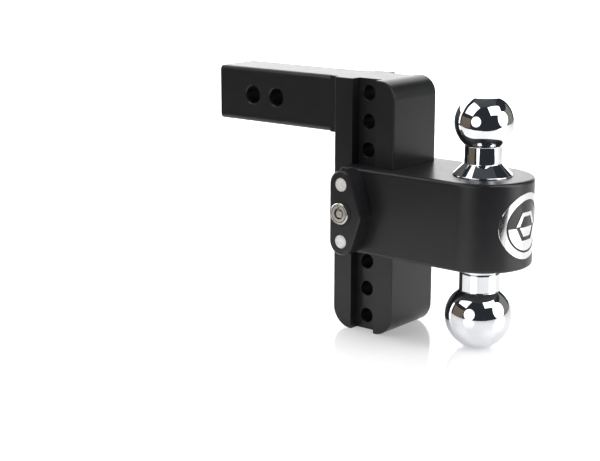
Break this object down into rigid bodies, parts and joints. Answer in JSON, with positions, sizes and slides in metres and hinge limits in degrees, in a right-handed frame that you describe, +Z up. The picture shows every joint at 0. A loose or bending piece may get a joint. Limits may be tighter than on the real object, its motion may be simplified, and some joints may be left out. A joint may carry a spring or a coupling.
{
  "type": "adjustable trailer hitch with turnover balls",
  "caption": "Drop hitch: a one-piece drawbar for a square receiver, a U-shaped mount pinned at a choice of heights, a ball above and below, and a keyed double pin.",
  "frame": {"origin": "centre of the receiver pin bore nearest the vehicle, midway across the shank", "axes": "+X from the vehicle to the ball along the shank, +Y along the receiver pin bore away from the key side, +Z up"},
  "size_m": [0.3244, 0.1145, 0.2286],
  "materials": {
    "black_coated_aluminium": "satin black coat over machined aluminium",
    "chrome_plated_steel": "mirror chrome plate on steel",
    "badge_chrome": "polished",
    "badge_two_tone": "polished relief over a black field",
    "stainless_steel": "turned stainless",
    "lock_nickel": "bright nickel",
    "lock_brass": "turned brass",
    "seal_rubber": "matt",
    "black_oxide_steel": "black oxide",
    "zinc_steel": "zinc plated"
  },
  "bodies": {
    "drawbar": {"drawbar": "black_coated_aluminium"},
    "ball_mount": {"ball_mount": "black_coated_aluminium", "upper_ball": "chrome_plated_steel", "lower_ball": "chrome_plated_steel", "ball_set_screw": "black_oxide_steel", "badge_ring": "badge_chrome", "badge_disc": "badge_two_tone"},
    "dual_pin": {"pin_plate": "black_coated_aluminium", "upper_pin": "stainless_steel", "lower_pin": "stainless_steel", "lock_barrel": "lock_nickel", "lock_seal": "seal_rubber", "lock_retaining_ring": "black_oxide_steel", "lock_bushing": "lock_brass", "lock_driver_pins": "lock_brass", "lock_springs": "stainless_steel"},
    "lock_core": {"lock_core": "lock_nickel", "lock_key_pins": "lock_brass", "lock_dog": "zinc_steel", "dog_washer": "zinc_steel", "dog_screw": "zinc_steel"}
  },
  "joints": [
    {"name": "height_slide", "type": "slide", "parent": "drawbar", "child": "ball_mount", "axis": [0, 0, 1], "range_m": [-0.0762, 0.0762]},
    {"name": "dual_pin_pull", "type": "slide", "parent": "ball_mount", "child": "dual_pin", "axis": [0, -1, 0], "range_m": [0, 0.1]},
    {"name": "lock_turn", "type": "hinge", "parent": "dual_pin", "child": "lock_core", "pos_m": [0.1333, -0.06205, -0.0889], "axis": [0, -1, 0], "range_deg": [0, 90]}
  ]
}
